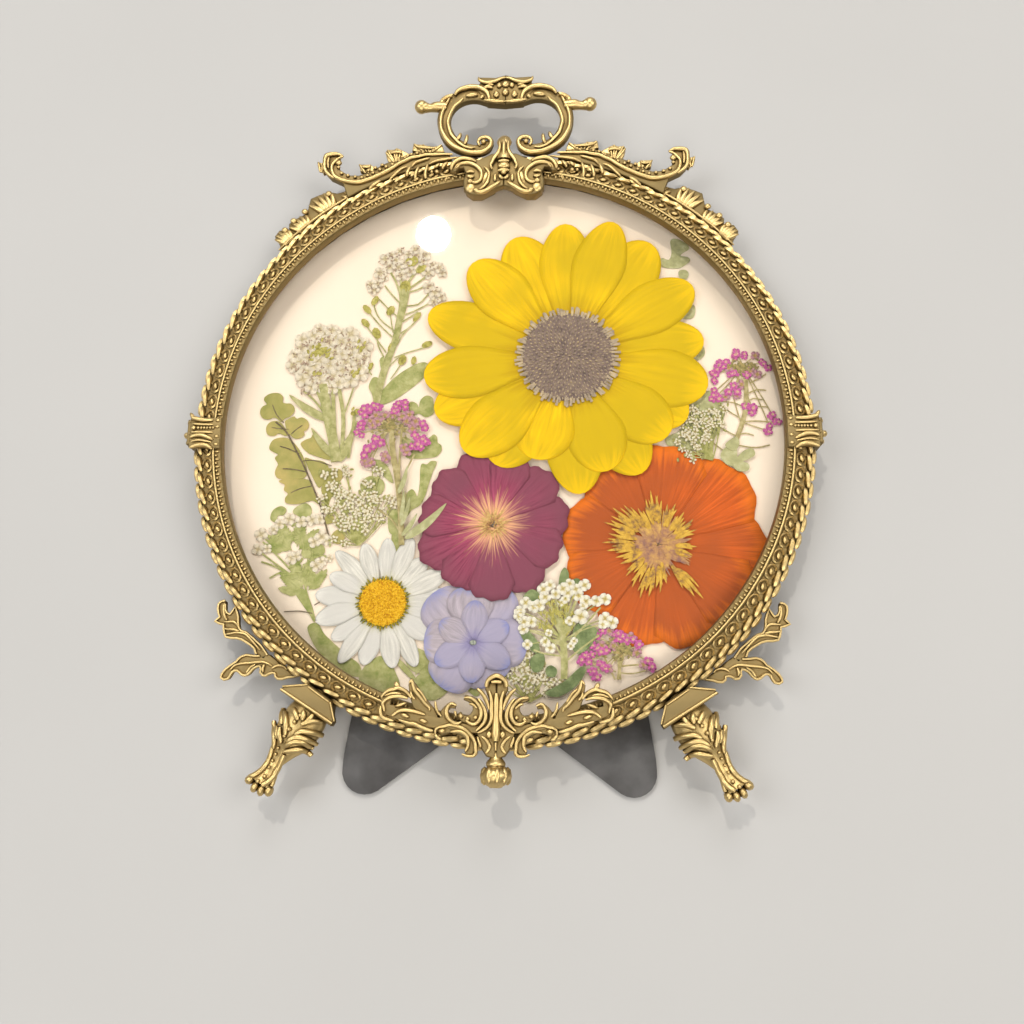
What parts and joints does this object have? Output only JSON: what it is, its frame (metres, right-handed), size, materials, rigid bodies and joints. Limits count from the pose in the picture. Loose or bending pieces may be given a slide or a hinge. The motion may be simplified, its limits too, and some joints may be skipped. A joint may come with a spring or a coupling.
{
  "type": "pressed flower frame",
  "caption": "Round ornate brass easel frame with a glazed picture of pressed flowers, a loop handle, paw feet and a folding rear easel.",
  "frame": {"origin": "centre of the ring, on the plane that the folded easel lies on", "axes": "+Z out of the front of the picture, +Y towards the handle, +X to the right of the picture seen from the front"},
  "size_m": [0.1752, 0.2078, 0.0182],
  "materials": {
    "brass": "satin",
    "steel": "satin",
    "glass": "gloss",
    "card": "matte",
    "board": "matte",
    "yellow_petal": "matte",
    "brown_disc": "matte",
    "burgundy_petal": "matte",
    "orange_petal": "matte",
    "stamens": "matte",
    "white_petal": "matte",
    "golden_disc": "matte",
    "lavender_petal": "matte",
    "green_leaf": "matte",
    "pink_blossom": "matte",
    "cream_blossom": "matte"
  },
  "bodies": {
    "frame": {"ring": "brass", "handle": "brass", "clasp": "brass", "crest_arm_right": "brass", "crest_arm_left": "brass", "shoulder_leaf_right": "brass", "shoulder_leaf_left": "brass", "side_band_right": "brass", "side_band_left": "brass", "acanthus_right": "brass", "acanthus_left": "brass", "leg_right": "brass", "leg_left": "brass", "bottom_crest": "brass", "glass": "glass", "card": "card", "back_board": "board", "clip_1": "steel", "clip_2": "steel", "clip_3": "steel", "clip_4": "steel", "hinge_plate": "steel", "hinge_pin": "steel", "yellow_flower_petals": "yellow_petal", "yellow_flower_disc": "brown_disc", "rose_bloom": "burgundy_petal", "cosmos_petals": "orange_petal", "cosmos_stamens": "stamens", "daisy_petals": "white_petal", "daisy_disc": "golden_disc", "hydrangea_floret": "lavender_petal", "white_sprig_top": "cream_blossom", "white_cluster_left": "cream_blossom", "pink_cluster_left": "pink_blossom", "fern_left": "green_leaf", "lace_left": "cream_blossom", "lobed_leaves": "green_leaf", "leafy_sprig_left": "green_leaf", "leaves_below_daisy": "green_leaf", "slender_leaf": "green_leaf", "white_cluster_right": "cream_blossom", "lace_below": "cream_blossom", "pink_cluster_below": "pink_blossom", "lace_right": "cream_blossom", "pink_cluster_right": "pink_blossom", "fern_right": "green_leaf"},
    "easel": {"easel": "steel"}
  },
  "joints": [
    {"name": "easel_hinge", "type": "hinge", "parent": "frame", "child": "easel", "pos_m": [0, 0.025, 0.0015], "axis": [1, 0, 0], "range_deg": [0, 30]}
  ]
}
